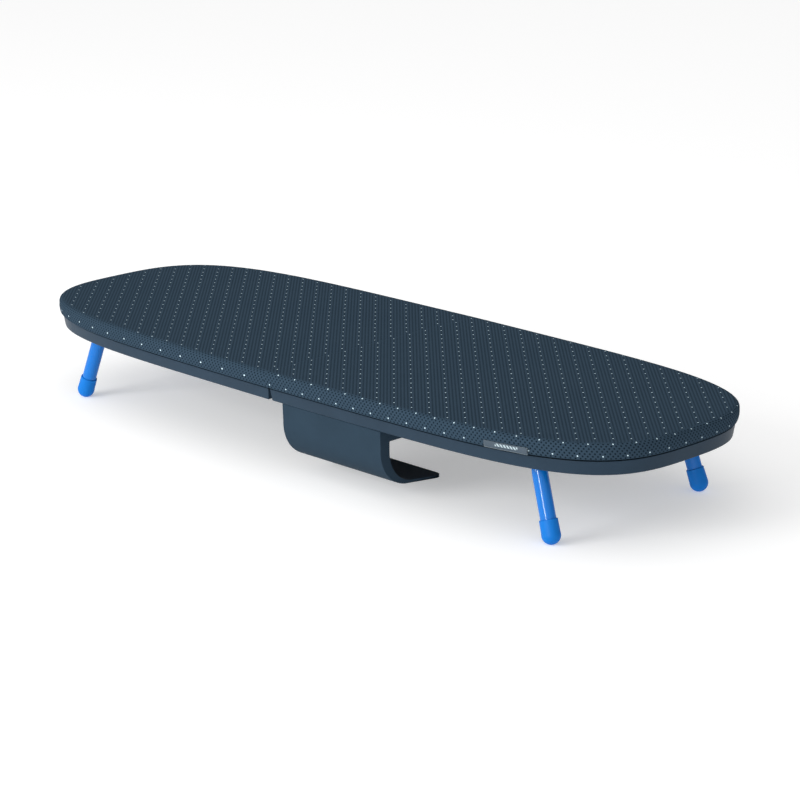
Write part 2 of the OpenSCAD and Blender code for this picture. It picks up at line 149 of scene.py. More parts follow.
def loop_columns():
    """Angle and arc length of every column, anticlockwise from the front of the fold."""
    out, back = range(N), range(N, 0, -1)
    columns = [(ANGLES[i], ARCS[i]) for i in out]
    columns += [(-ANGLES[i], 2 * QUARTER - ARCS[i]) for i in back]
    columns += [(math.pi + ANGLES[i], 2 * QUARTER + ARCS[i]) for i in out]
    return columns + [(math.pi - ANGLES[i], 4 * QUARTER - ARCS[i]) for i in back]


COLUMNS = loop_columns()


# ================================================================ mesh helpers
def new_piece(name, verts, faces, uvs=None, smooth=True, pins=None):
    """A new object in the scene. uvs and pins hold pattern coordinates for each corner of each face."""
    mesh = bpy.data.meshes.new(name)
    mesh.from_pydata(verts, [], faces)
    for layer_name, rows in (("weave", uvs), ("pins", pins)):
        if rows:
            layer = mesh.uv_layers.new(name=layer_name)
            layer.data.foreach_set("uv", [c for face in rows for uv in face for c in uv])
    mesh.polygons.foreach_set("use_smooth", [smooth] * len(mesh.polygons))
    mesh.update()
    obj = bpy.data.objects.new(name, mesh)
    bpy.context.scene.collection.objects.link(obj)
    return obj


def apply_modifiers(obj):
    """Turns the piece into its own final mesh."""
    graph = bpy.context.evaluated_depsgraph_get()
    mesh = bpy.data.meshes.new_from_object(obj.evaluated_get(graph))
    old = obj.data
    obj.modifiers.clear()
    obj.data = mesh
    bpy.data.meshes.remove(old)


def fix_normals(obj):
    """Turns every face of a closed piece outwards."""
    bm = bmesh.new()
    bm.from_mesh(obj.data)
    bmesh.ops.recalc_face_normals(bm, faces=bm.faces)
    bm.to_mesh(obj.data)
    bm.free()


def cut(obj, cutter, operation="DIFFERENCE"):
    """Cuts the cutter out of the piece, or joins it on, and uses it up."""
    mod = obj.modifiers.new("cut", "BOOLEAN")
    mod.operation = operation
    mod.solver = "EXACT"
    mod.object = cutter
    bpy.context.view_layer.update()
    apply_modifiers(obj)
    mesh = cutter.data
    bpy.data.objects.remove(cutter)
    bpy.data.meshes.remove(mesh)


def bevel(obj, width, segments, angle):
    mod = obj.modifiers.new("soft edges", "BEVEL")
    mod.width = width
    mod.segments = segments
    mod.limit_method = "ANGLE"
    mod.angle_limit = math.radians(angle)
    mod.miter_outer = "MITER_ARC"
    return mod


def weighted(obj):
    obj.modifiers.new("even shading", "WEIGHTED_NORMAL").weight = 60


def paint(obj, material):
    if obj.material_slots:
        for s in obj.material_slots:
            s.material = material
    else:
        obj.data.materials.append(material)


def smooth_faces(obj):
    obj.data.polygons.foreach_set("use_smooth", [True] * len(obj.data.polygons))


def finish_piece(obj, body, material):
    paint(obj, material)
    if body:
        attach(obj, body)


def dress(node, material, width, segments=2, angle=35):
    """Gives a CAD node its material and, where width isn't 0, soft edges and even shading."""
    obj = NODES[node]
    if width:
        weld = obj.modifiers.new("weld", "WELD")
        weld.merge_threshold = 2e-6
        flat = obj.modifiers.new("merge flats", "DECIMATE")
        flat.decimate_type = "DISSOLVE"
        flat.angle_limit = math.radians(0.5)
        bevel(obj, width, segments, angle).use_clamp_overlap = True
        weighted(obj)
    paint(obj, material)


# ================================================================ materials
class Shade:
    """A short way to write a material's nodes."""

    def __init__(self, name):
        self.mat = bpy.data.materials.new(name)
        self.mat.use_nodes = True
        self.tree = self.mat.node_tree
        self.bsdf = self.tree.nodes["Principled BSDF"]
        self.coords = None

    def add(self, kind, **settings):
        """A new node with these settings."""
        node = self.tree.nodes.new("ShaderNode" + kind)
        for k, v in settings.items():
            setattr(node, k, v)
        return node

    def link(self, source, socket):
        """Feeds a socket from another node, or sets it where the source is a number or a colour."""
        if isinstance(source, (int, float, tuple)):
            socket.default_value = source
        else:
            self.tree.links.new(source, socket)

    def math(self, op, a, b=0.0):
        node = self.add("Math", operation=op)
        for value, socket in zip((a, b), node.inputs):
            self.link(value, socket)
        return node.outputs[0]

    def times(self, a, b):
        return self.math("MULTIPLY", a, b)

    def wave(self, value, period):
        """Sine wave that repeats each time value grows by period."""
        return self.math("SINE", self.times(value, 2 * math.pi / period))

    def mix(self, factor, a, b):
        node = self.add("Mix", data_type="RGBA")
        self.link(factor, node.inputs["Factor"])
        self.link(a, node.inputs[6])
        self.link(b, node.inputs[7])
        return node.outputs[2]

    def ramp(self, value, low, high, to_low=0.0, to_high=1.0):
        """Maps low..high smoothly to to_low..to_high."""
        node = self.add("MapRange", interpolation_type="SMOOTHSTEP")
        for v, socket in zip((value, low, high, to_low, to_high), node.inputs):
            self.link(v, socket)
        return node.outputs[0]

    def noise(self, scale, detail, rough, vector=None):
        node = self.add("TexNoise")
        node.inputs["Scale"].default_value = scale
        node.inputs["Detail"].default_value = detail
        node.inputs["Roughness"].default_value = rough
        self.link(vector or self.place(), node.inputs["Vector"])
        return node.outputs["Fac"]

    def place(self):
        """The piece's own coordinates, in metres."""
        if self.coords is None:
            self.coords = self.add("TexCoord").outputs["Object"]
        return self.coords

    def stretch(self, x, y, z):
        """The same, scaled along each axis so that a grain runs one way."""
        node = self.add("Mapping")
        self.link(self.place(), node.inputs["Vector"])
        node.inputs["Scale"].default_value = (x, y, z)
        return node.outputs[0]

    def uv(self, layer="weave"):
        """The piece's pattern coordinates, in metres."""
        node = self.add("SeparateXYZ")
        self.link(self.add("UVMap", uv_map=layer).outputs[0], node.inputs[0])
        return node.outputs[0], node.outputs[1]

    def bump(self, height, strength, distance):
        node = self.add("Bump")
        node.inputs["Strength"].default_value = strength
        node.inputs["Distance"].default_value = distance
        self.link(height, node.inputs["Height"])
        return node.outputs[0]

    def set(self, **values):
        """Sets the shader's own sockets, or links nodes to them."""
        for k, v in values.items():
            self.link(v, self.bsdf.inputs[k.replace("_", " ")])

    def lattice(self, u, v, period):
        """Distance from the nearest point of a square lattice with a point in each square's middle."""
        parts = []
        for op in ("ADD", "SUBTRACT"):
            a = self.math("DIVIDE", self.math(op, u, v), period)
            off = self.math("SUBTRACT", a, self.math("ROUND", a))
            parts.append(self.times(off, off))
        root = self.math("SQRT", self.math("ADD", *parts))
        return self.times(root, period / math.sqrt(2))


SLATE = (0.0275, 0.0500, 0.0760, 1)
SLATE_WORN = (0.037, 0.063, 0.091, 1)
SLATE_FIBRE = (0.050, 0.079, 0.108, 1)
SLATE_DARK = (0.0025, 0.0070, 0.0125, 1)
PIN_WHITE = (0.62, 0.80, 0.90, 1)
THREAD = 0.00042  # the weave repeats this often


def cloth_material():
    """Slate cotton with a fine dark dot and a sparse white pin dot."""
    s = Shade("cover cloth")
    u, v = s.uv()
    fine = s.lattice(u, v, PIN / DOTS_PER_PIN)
    dark = s.ramp(fine, 0.72 * MM, 1.12 * MM, 1.0, 0.0)
    sparse = s.lattice(*s.uv("pins"), PIN)
    pin = s.ramp(sparse, 0.62 * MM, 0.86 * MM, 1.0, 0.0)
    halo = s.ramp(sparse, 1.1 * MM, 1.6 * MM, 1.0, 0.0)
    fibre = s.noise(2600.0, 3.0, 0.65)
    cloud = s.noise(9.0, 3.0, 0.55)
    base = s.mix(s.ramp(cloud, 0.3, 0.7, 0.0, 0.22), SLATE, SLATE_WORN)
    base = s.mix(s.ramp(fibre, 0.3, 0.75, 0.0, 0.35), base, SLATE_FIBRE)
    base = s.mix(s.times(dark, 0.88), base, SLATE_DARK)
    base = s.mix(s.times(halo, 0.6), base, SLATE_DARK)
    weave = s.times(s.wave(u, THREAD), s.wave(v, THREAD))
    height = s.math("ADD", s.times(weave, 0.25), s.math("ADD", pin, s.times(dark, -0.5)))
    s.set(
        Base_Color=s.mix(pin, base, PIN_WHITE),
        Roughness=s.ramp(fibre, 0.2, 0.8, 0.78, 0.95),
        Normal=s.bump(height, 0.35, 0.00012),
        Sheen_Weight=0.01,
        Sheen_Roughness=0.5,
        Sheen_Tint=(0.62, 0.76, 0.92, 1),
        Specular_IOR_Level=0.012,
    )
    return s.mat


def plastic_material(name, colour, rough, grain=900.0, depth=0.00003, lift=1.25, specular=0.08):
    """Moulded plastic with a fine spark-eroded grain, faint flow marks and slightly rubbed patches.
    lift is how much lighter than colour its lightest parts are."""
    s = Shade(name)
    coarse = s.noise(14.0, 4.0, 0.6)
    fine = s.noise(grain, 2.0, 0.6)
    lighter = tuple(min(1.0, c * lift) for c in colour[:3]) + (1,)
    tone = s.mix(s.ramp(coarse, 0.35, 0.7, 0.0, 0.55), colour, lighter)
    patch = s.ramp(coarse, 0.3, 0.7, -0.05, 0.05)
    s.set(
        Base_Color=s.mix(s.ramp(fine, 0.35, 0.75, 0.0, 0.18), tone, lighter),
        Roughness=s.math("ADD", patch, s.ramp(fine, 0.3, 0.7, rough - 0.04, rough + 0.06)),
        Normal=s.bump(fine, 0.5, depth),
        Specular_IOR_Level=specular,
    )
    return s.mat


def enamel_material():
    """Powder-coated tube: deep blue under a clear gloss with a faint orange peel."""
    s = Shade("leg enamel")
    peel = s.noise(420.0, 2.0, 0.5)
    speck = s.ramp(s.noise(2200.0, 2.0, 0.5), 0.4, 0.75, 0.0, 0.15)
    s.set(
        Base_Color=s.mix(speck, (0.004, 0.160, 0.57, 1), (0.006, 0.177, 0.62, 1)),
        Roughness=s.ramp(peel, 0.3, 0.7, 0.24, 0.30),
        Normal=s.bump(peel, 0.03, 0.00002),
        Coat_Weight=0.60,
        Coat_Roughness=0.13,
        Specular_IOR_Level=0.0,
    )
    return s.mat


def steel_material(name, colour, rough, stretch=(1, 1, 1)):
    """Bright plated steel with fine brushing and dull blooms."""
    s = Shade(name)
    brush = s.noise(1800.0, 3.0, 0.6, s.stretch(*stretch))
    bloom = s.noise(60.0, 3.0, 0.55)
    dull = tuple(c * 0.72 for c in colour[:3]) + (1,)
    s.set(
        Base_Color=s.mix(s.ramp(bloom, 0.35, 0.75), colour, dull),
        Roughness=s.ramp(brush, 0.25, 0.75, rough - 0.07, rough + 0.10),
        Normal=s.bump(brush, 0.3, 0.00002),
        Metallic=1.0,
    )
    return s.mat


def foam_material():
    """Needled felt, pale and flecked."""
    s = Shade("foam felt")
    hair = s.noise(900.0, 5.0, 0.7)
    blot = s.noise(45.0, 3.0, 0.6)
    tone = s.mix(s.ramp(blot, 0.3, 0.7), (0.52, 0.51, 0.47, 1), (0.66, 0.65, 0.61, 1))
    s.set(
        Base_Color=s.mix(s.ramp(hair, 0.35, 0.7, 0.0, 0.5), tone, (0.40, 0.40, 0.38, 1)),
        Roughness=s.ramp(hair, 0.2, 0.8, 0.85, 1.0),
        Normal=s.bump(hair, 0.7, 0.0003),
    )
    return s.mat


# a line worked into a weave: its lower and upper edge, its ends, its repeat and its colour
Stripe = namedtuple("Stripe", "low high start stop dash colour")


def woven_material(name, colour, light, pitch, stripe=None):
    """Ribbed narrow weave, for the elastic and the tag, with a worked line and edge if there is a stripe."""
    s = Shade(name)
    u, v = s.uv()
    thread = s.times(s.math("ADD", s.wave(u, pitch), s.wave(v, pitch * 1.3)), 0.5)
    tone = s.mix(s.ramp(thread, -1.0, 1.0, 0.0, 0.7), colour, light)
    if stripe:
        soft = 0.0001
        above = s.ramp(v, stripe.low - soft, stripe.low + soft)
        below = s.ramp(v, stripe.high - soft, stripe.high + soft, 1.0, 0.0)
        after = s.ramp(u, stripe.start, stripe.start + 2 * soft)
        before = s.ramp(u, stripe.stop - 2 * soft, stripe.stop, 1.0, 0.0)
        inside = s.times(s.times(above, below), s.times(after, before))
        beat = s.wave(s.math("ADD", u, s.times(v, 0.8)), stripe.dash)
        tone = s.mix(s.times(inside, s.ramp(beat, -0.45, -0.15)), tone, stripe.colour)
        edge = s.ramp(v, 0.0002, 0.0007, 1.0, 0.0)
        tone = s.mix(s.times(edge, 0.35), tone, stripe.colour)
    s.set(
        Base_Color=tone,
        Roughness=s.ramp(thread, -1.0, 1.0, 0.55, 0.75),
        Normal=s.bump(thread, 0.4, 0.0001),
        Sheen_Weight=0.2,
        Sheen_Roughness=0.4,
    )
    return s.mat


CLOTH_MAT = cloth_material()
RIM_MAT = plastic_material("rim plastic", (0.0212, 0.0390, 0.0610, 1), 0.42)
FRAME_MAT = plastic_material("frame plastic", (0.027, 0.046, 0.070, 1), 0.52, 700.0, 0.00005)
HOOK_MAT = plastic_material("hook plastic", (0.0236, 0.0418, 0.0620, 1), 0.55, specular=0.015)
SADDLE_MAT = plastic_material("saddle plastic", (0.024, 0.036, 0.050, 1), 0.5)
CAP_MAT = plastic_material("foot cap", (0.007, 0.163, 0.555, 1), 0.48, 1200.0, 0.00003, 1.12)
LEG_MAT = enamel_material()
HINGE_MAT = steel_material("hinge steel", (0.62, 0.62, 0.60, 1), 0.34, (1.0, 0.06, 1.0))
SCREW_MAT = steel_material("fastener steel", (0.68, 0.67, 0.64, 1), 0.28)
LOCK_MAT = steel_material("lock steel", (0.58, 0.59, 0.60, 1), 0.32, (0.06, 1.0, 1.0))
FOAM_MAT = foam_material()
ELASTIC_MAT = woven_material("hem elastic", (0.045, 0.05, 0.055, 1), (0.14, 0.15, 0.16, 1), 0.0009)
TAG_MAT = woven_material(
    "woven tag",
    (0.022, 0.045, 0.070, 1),
    (0.036, 0.064, 0.094, 1),
    0.0004,
    Stripe(0.0030, 0.0058, 0.0120, 0.0370, 0.0036, (0.40, 0.50, 0.54, 1)),
)


# ================================================================ cover
# inset and height of the cloth's outer face, from the edge of the flat top to the inner edge of the hem
EDGE = [
    (7.0, 111.62), (6.2, 111.50), (5.7, 111.28), (5.2, 111.30), (4.2, 110.95), (3.0, 110.25), (1.9, 109.20),
    (1.05, 107.85), (0.5, 106.30), (0.18, 104.6), (0.03, 102.6), (0.0, 100.6), (0.10, 98.4), (0.30, 96.6),
    (0.62, 95.5), (1.15, 94.85), (1.9, 94.62), (3.0, 94.6), (4.7, 94.6), (6.5, 94.6),
]
EDGE = [(d * MM, z * MM) for d, z in EDGE]
TOP_ROWS = 17  # rings of the flat top, from the middle line to its edge
TOP_FALL = 0.8  # the top drops to its edge from this share of the way out
SEAM_DEPTH, SEAM_WIDTH = 0.00022, 0.0016  # the shallow dip over the fold
DIP_ROWS = 4  # rows of the edge that it runs on into
PANEL_ROWS = TOP_ROWS + 2  # rows that take the top panel's pattern, not the band's
GATHER, GATHER_ROWS = 0.00022, 3  # the hem's waves and the rows that they are in
PLEAT, PLEAT_DRIFT = 0.0041, 0.031  # how often they come, and how their spacing drifts


def edge_path():
    """Distance along the cloth's edge profile, measured down from the lower row of pin dots."""
    path = [0.0]
    for (d0, z0), (d1, z1) in zip(EDGE, EDGE[1:]):
        path.append(path[-1] + math.hypot(d1 - d0, z1 - z0))
    outside = len(EDGE) - 3  # the rows before the hem turns in level
    row = np.interp(-PIN_ROW, [-z for _, z in EDGE[:outside]], path[:outside])
    return [float(row - p) for p in path]


EDGE_PATH = edge_path()


def top_height(s):
    """Height of the top cloth at share s of the way from the middle line to the edge."""
    return TOP_Z - (TOP_Z - EDGE[0][1]) * max(0.0, (s - TOP_FALL) / (1 - TOP_FALL)) ** 2


def seam_dip(x):
    """How far the cloth dips at distance x from the fold."""
    return SEAM_DEPTH * math.exp(-((x / SEAM_WIDTH) ** 2) * 2.5)


def left_pins(a, height):
    """Pattern coordinates of the left half's band, where the pulled cloth spreads its pins to one open row.
    a is the distance from the fold, negative at the front."""
    near = min(LEFT_MOST, 2 * LEFT_SLOW * (abs(a) / MM - LEFT_PIN_START))
    count = (LEFT_STEP - math.sqrt(LEFT_STEP**2 - near)) / LEFT_SLOW
    return count * PIN, (height - LEFT_PIN_ROW) * LEFT_PIN_STRETCH


def build_cover():
    """The cloth's outer face: top panel, rounded edge, side band and gathered hem."""
    shares = [math.sin(math.pi / 2 * i / TOP_ROWS) ** 0.9 for i in range(TOP_ROWS)]
    rows = []  # one list of points for each column, from the middle line out
    for t, arc in COLUMNS:
        ex, ey = inset(t, EDGE[0][0])
        points = [(ex * (SPINE + s * (1 - SPINE)), s * ey, top_height(s)) for s in shares]
        points = [(x, y, z - seam_dip(x)) for x, y, z in points]
        for k, (d, z) in enumerate(EDGE):
            x, y = inset(t, d + tuck(t, z))
            gather = 0.0
            row = k - len(EDGE) + GATHER_ROWS + 1
            if row > 0:
                pleats = math.sin(arc / PLEAT + 1.7 * math.sin(arc / PLEAT_DRIFT))
                gather = GATHER * row / GATHER_ROWS * pleats
            dip = seam_dip(x) if k < DIP_ROWS else 0.0
            points.append((x, y, z + gather - dip))
        rows.append(points)
    count = len(rows)
    deep = len(rows[0])
    verts, index = [], {}
    for j in range(count):
        for k in range(deep):
            if k == 0:
                # the front and the back column at the same distance from the fold share their middle point
                twin = (2 * N - j) % (4 * N)
                if (twin, 0) in index:
                    index[(j, 0)] = index[(twin, 0)]
                    continue
            index[(j, k)] = len(verts)
            verts.append(rows[j][k])
    faces, uvs, pins = [], [], []
    for j in range(count):
        n = (j + 1) % count
        side = 1 if j < 2 * N else -1
        arcs = (COLUMNS[j][1], COLUMNS[n][1] if n else 4 * QUARTER)
        if side < 0:
            arcs = tuple(a - 4 * QUARTER for a in arcs)
        for k in range(deep - 1):
            ring = [(j, k), (j, k + 1), (n, k + 1), (n, k)]
            corners = [index[c] for c in ring]
            coords, marks = [], []
            for c, kk in ring:
                if k < PANEL_ROWS:
                    x, y, _ = rows[c][kk]
                    coords.append((x - PIN_TOP[side][0], y - PIN_TOP[side][1]))
                    marks.append(coords[-1])
                    continue
                a = arcs[0] if c == j else arcs[1]  # distance along the edge from the fold
                height = EDGE_PATH[kk - TOP_ROWS]
                lower = height * PIN_STRETCH + PIN / 2
                coords.append((a - PIN_BAND[side][0] + side * PIN_SHEAR * lower, lower - PIN_BAND[side][1]))
                marks.append(coords[-1] if side > 0 else left_pins(a, height))
            if len(set(corners)) < 4:
                keep = [i for i, c in enumerate(corners) if corners.index(c) == i]
                corners = [corners[i] for i in keep]
                coords = [coords[i] for i in keep]
                marks = [marks[i] for i in keep]
            if len(corners) > 2:
                faces.append(corners)
                uvs.append(coords)
                pins.append(marks)
    return new_piece("cover", verts, faces, uvs, pins=pins)


cover = build_cover()
shell = cover.modifiers.new("cloth thickness", "SOLIDIFY")
shell.thickness = CLOTH
shell.offset = -1
shell.use_even_offset = True
bpy.context.view_layer.update()
apply_modifiers(cover)
finish_piece(cover, None, CLOTH_MAT)
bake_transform(cover)
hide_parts("right_cover", "left_cover")


# ================================================================ pads
# inset and height of a pad's surface, from the edge of its flat top to its underside
PAD_EDGE = [
    (14.0, 110.45), (9.0, 110.35), (6.8, 110.0), (5.0, 109.2), (3.6, 108.0), (2.6, 106.9), (2.0, 105.9),
    (1.75, 105.2), (2.3, 104.8),
]
PAD_EDGE = [(d * MM, z * MM) for d, z in PAD_EDGE]
PAD_SHARES = [0.0, 0.2, 0.4, 0.58, 0.72, 0.84, 0.93]  # its rings, from the middle line to that edge
PAD_START = 0.0036  # the pads' distance from the fold
PAD_TUCK = 0.0013  # how much further in the edge is at the tips
PAD_LOW = 0.10475  # underside, just over the deck
PAD_DIP, PAD_DIP_REACH = 0.0006, 0.006  # the top is lower by this next to the fold
# hollow for the hinge leaf: its reach, half width and height
POCKET_X, POCKET_Y, POCKET_Z = 0.0255, 0.142, 0.1067


def build_pad(side):
    """Foam pad of one half: rounded over at the edge, flat below, hollowed for the hinge leaf."""
    verts, faces, index = [], [], {}
    last = len(PAD_SHARES) + len(PAD_EDGE) - 1

    def put(key, x, y, z):
        index[key] = len(verts)
        verts.append((side * (PAD_START + x * (HALF_LEN - PAD_START) / HALF_LEN), y, z))

    for j in range(2 * N + 1):
        t, _ = COLUMNS[j]
        ex, ey = inset(t, PAD_EDGE[0][0])
        line = [(ex * (SPINE + s * (1 - SPINE)), s * ey, PAD_EDGE[0][1]) for s in PAD_SHARES]
        line += [(*inset(t, d + PAD_TUCK * tipness(t)), z) for d, z in PAD_EDGE]
        for k, (x, y, z) in enumerate(line):
            if k == 0 and j > N:  # the back columns share the front ones' points on the middle line
                for layer in (0, 1):
                    index[(j, k, layer)] = index[(2 * N - j, k, layer)]
                continue
            put((j, k, 0), x, y, z - PAD_DIP * max(0.0, 1 - x / PAD_DIP_REACH))
            if k == last:
                index[(j, k, 1)] = index[(j, k, 0)]
            else:
                hollow = x < POCKET_X and abs(y) < POCKET_Y
                put((j, k, 1), x, y * 0.9995, POCKET_Z if hollow else PAD_LOW)

    def face(keys):
        corners = list(dict.fromkeys(index[key] for key in keys))
        if len(corners) > 2:
            faces.append(corners)

    for j in range(2 * N):
        for k in range(last):
            face([(j, k, 0), (j, k + 1, 0), (j + 1, k + 1, 0), (j + 1, k, 0)])
            face([(j, k, 1), (j + 1, k, 1), (j + 1, k + 1, 1), (j, k + 1, 1)])
    for j in (0, 2 * N):
        for k in range(last):
            face([(j, k, 0), (j, k, 1), (j, k + 1, 1), (j, k + 1, 0)])
    pad = new_piece("pad_right" if side > 0 else "pad_left", verts, faces)
    fix_normals(pad)
    return pad


for side, half in ((1, "right"), (-1, "left")):
    pad = build_pad(side)
    finish_piece(pad, half + "_half", FOAM_MAT)
    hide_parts(half + "_pad")
    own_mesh(pad)


# ================================================================ elastic
BRAID_SIDES = 12
BRAID_D, BRAID_Z = 0.0055, 0.0967  # inset and height of its middle
BRAID_HALF_D, BRAID_HALF_Z = 0.00092, 0.00105  # half its size across and up
BRAID_SQUARE = 0.6  # power of its section, which is 1 for round and less for square


def build_elastic():
    """Flat braid that runs all the way round inside the hem."""
    section = []
    for i in range(BRAID_SIDES):
        a = 2 * math.pi * i / BRAID_SIDES
        c, s = math.cos(a), math.sin(a)
        d = math.copysign(abs(c) ** BRAID_SQUARE, c) * BRAID_HALF_D
        section.append((d, math.copysign(abs(s) ** BRAID_SQUARE, s) * BRAID_HALF_Z))
    verts, faces, uvs = [], [], []
    for t, _ in COLUMNS:
        for d, z in section:
            x, y = inset(t, BRAID_D + d + tuck(t, BAND_Z))
            verts.append((x, y, BRAID_Z + z))
    total = len(COLUMNS)
    for j in range(total):
        n = (j + 1) % total
        a0, a1 = COLUMNS[j][1], COLUMNS[n][1] if n else 4 * QUARTER
        for i in range(BRAID_SIDES):
            m = (i + 1) % BRAID_SIDES
            faces.append([j * BRAID_SIDES + i, j * BRAID_SIDES + m, n * BRAID_SIDES + m, n * BRAID_SIDES + i])
            v0, v1 = i * MM / 2, (i + 1) * MM / 2
            uvs.append([(a0, v0), (a0, v1), (a1, v1), (a1, v0)])
    obj = new_piece("hem_elastic", verts, faces, uvs)
    fix_normals(obj)
    return obj


elastic = build_elastic()
finish_piece(elastic, None, ELASTIC_MAT)
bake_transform(elastic)
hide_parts("right_hem_elastic", "left_hem_elastic")


# ================================================================ rims
# inset and height round the rim wall's section, and how much further out and up each point is at the tips
WALL = [
    (9.1, 101.7, 0, 0), (9.1, 91.2, 0, 2.3),  # groove
    (7.5, 91.2, 3.6, 2.3), (9.1, 79.6, 2.8, 0),  # outer face with its draft
    (9.35, 78.9, 2.8, 0), (9.95, 78.5, 2.8, 0), (10.9, 78.5, 2.4, 0), (11.5, 78.8, 2.4, 0),  # lower edge
    (11.75, 79.5, 2.4, 0), (10.6, 94.2, 0, 0), (10.6, 101.7, 0, 0),  # inner face
]
WALL = [tuple(v * MM for v in row) for row in WALL]
FACE_INSET = 0.0075  # inset of the outer face's upper edge
END_OPEN = 0.138  # half the width that the rim leaves open at the fold
GAP = 0.0012  # half the gap between the rims at the fold
CORNER_X = 0.0065  # the outline's stations start this far from the fold
POST_INSET = 0.0175
POSTS = [-82, -60, -33, 0, 33, 60, 82]  # angles of the deck's posts, which the rim's tabs are screwed to
TAB_REACH = 0.0076  # from a post to the middle of the rim's wall
TAB_R, TAB_FOOT = 6.5 * MM, 7.5 * MM  # half the tab's width at the post and at the wall
TAB_LOW, TAB_HIGH = 0.0905, 0.0930
TAB_HOLE = 0.0021


def wall_path():
    """Stations along one half's rim, from the front of the fold round to the back. Each is a function that
    turns an inset into a place, and the station's tipness."""
    end_t = COLUMNS[0][0]

    def corner(sign):
        return lambda d: (GAP + d - FACE_INSET, sign * abs(inset(end_t, d)[1]))

    def end(sign):
        return lambda d: (GAP + d - FACE_INSET, sign * END_OPEN)

    angles = [t for t, _ in COLUMNS[1 : 2 * N] if outline(t)[0] > CORNER_X]
    sides = [(lambda d, t=t: inset(t, d), tipness(t)) for t in angles]
    return [(end(-1), 0.0), (corner(-1), 0.0)] + sides + [(corner(1), 0.0), (end(1), 0.0)]


def prism(name, ring, z0, z1):
    """A solid with a flat outline and straight sides."""
    n = len(ring)
    verts = [(x, y, z0) for x, y in ring] + [(x, y, z1) for x, y in ring]
    faces = [list(range(n))[::-1], list(range(n, 2 * n))]
    faces += [[i, (i + 1) % n, n + (i + 1) % n, n + i] for i in range(n)]
    obj = new_piece(name, verts, faces, smooth=False)
    fix_normals(obj)
    return obj


def circle(x, y, r, n=32):
    return [(x + r * math.cos(2 * math.pi * i / n), y + r * math.sin(2 * math.pi * i / n)) for i in range(n)]


def tab_outline(angle, x, y):
    """Tongue from the wall to the post at x, y, with a round end."""
    ox, oy = inset(angle, POST_INSET - TAB_REACH)
    nx, ny = (ox - x) / TAB_REACH, (oy - y) / TAB_REACH
    ring = [(ox + ny * TAB_FOOT, oy - nx * TAB_FOOT)]
    for i in range(17):
        c, s = math.cos(math.pi * i / 16), math.sin(math.pi * i / 16)
        ring.append((x - TAB_R * (nx * s - ny * c), y - TAB_R * (ny * s + nx * c)))
    return ring + [(ox - ny * TAB_FOOT, oy + nx * TAB_FOOT)]


def build_rim(side):
    """Rim wall of one half with its screw tabs. The left one is the right one's mirror image."""
    places = wall_path()
    verts, faces = [], []
    for at, tip in places:
        for d, z, flare, lift in WALL:
            x, y = at(d - flare * tip)
            verts.append((x, y, z + lift * tip))
    w, total = len(WALL), len(places)
    for j in range(total - 1):
        for i in range(w):
            m = (i + 1) % w
            faces.append([j * w + i, (j + 1) * w + i, (j + 1) * w + m, j * w + m])
    faces += [list(range(w)), list(range((total - 1) * w, total * w))]
    rim = new_piece("rim_right" if side > 0 else "rim_left", verts, faces)
    fix_normals(rim)
    for angle in POSTS:
        t = math.radians(angle)
        x, y = inset(t, POST_INSET)
        tab = prism("tab", tab_outline(t, x, y), TAB_LOW, TAB_HIGH)
        cut(tab, prism("hole", circle(x, y, TAB_HOLE, 24), TAB_LOW - 0.0015, TAB_HIGH + 0.001))
        cut(rim, tab, "UNION")
    if side < 0:
        rim.data.transform(Matrix.Diagonal((-1, 1, 1, 1)))
    fix_normals(rim)
    smooth_faces(rim)
    return rim


for side, half in ((1, "right"), (-1, "left")):
    rim = build_rim(side)
    finish_piece(rim, half + "_half", RIM_MAT)
    bevel(rim, 0.0006, 2, 38)
    weighted(rim)
    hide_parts(half + "_rim")


# ================================================================ door hook
HOOK_X = (0.0171, 0.1619)  # its two ends along the board
HOOK_Y = -0.1509  # outer face of the plate
HOOK_T = 0.0129  # thickness of the plate and the arm
HOOK_BEND, HOOK_INNER = 0.042, 0.037  # outer and inner radius of the bend
HOOK_LOW = 0.015  # height of the outer face under the middle of the bend
LIP_ROOT = 0.0172  # height of the inner face there
LIP_Y = -0.0565  # tip of the lip
LIP_T = 0.0024  # its thickness
LIP_SLOPE = math.radians(6)
LIP_CORNER = 0.0145  # radius of the lip's two corners
LIP_TOP = 0.040  # the lip is all below this height
LIP_STEPS = 18
ARM_Y = -0.072  # back end of the arm
ARM_STEPS = (ARM_Y, -0.09, -0.11)  # mesh lines along the arm
SHOULDER = 0.0008  # the plate's corner is eased by this
PLATE_SWELL = ((-0.0004, 0.068), (0.0, 0.0595))  # the outer face's swell under that corner
HOOK_COLUMNS = 24
HOOK_SCREWS = [(x, y) for x in (0.0351, 0.1439) for y in (-0.135, -0.104)]
BORE_R, BORE_LOW, SEAT_Z = 0.0048, 0.060, 0.0710  # bore for a screw's head, up to its seat
HOLE_R, HOLE_LOW, HOLE_HIGH = 0.0023, 0.069, 0.080


def at_angle(centre, radius, angle):
    return centre[0] + radius * math.cos(angle), centre[1] + radius * math.sin(angle)


def sweep(centre, radius, start, end, n):
    return [at_angle(centre, radius, start + (end - start) * i / n) for i in range(n + 1)]


def lerp(a, b, f):
    return a[0] + (b[0] - a[0]) * f, a[1] + (b[1] - a[1]) * f


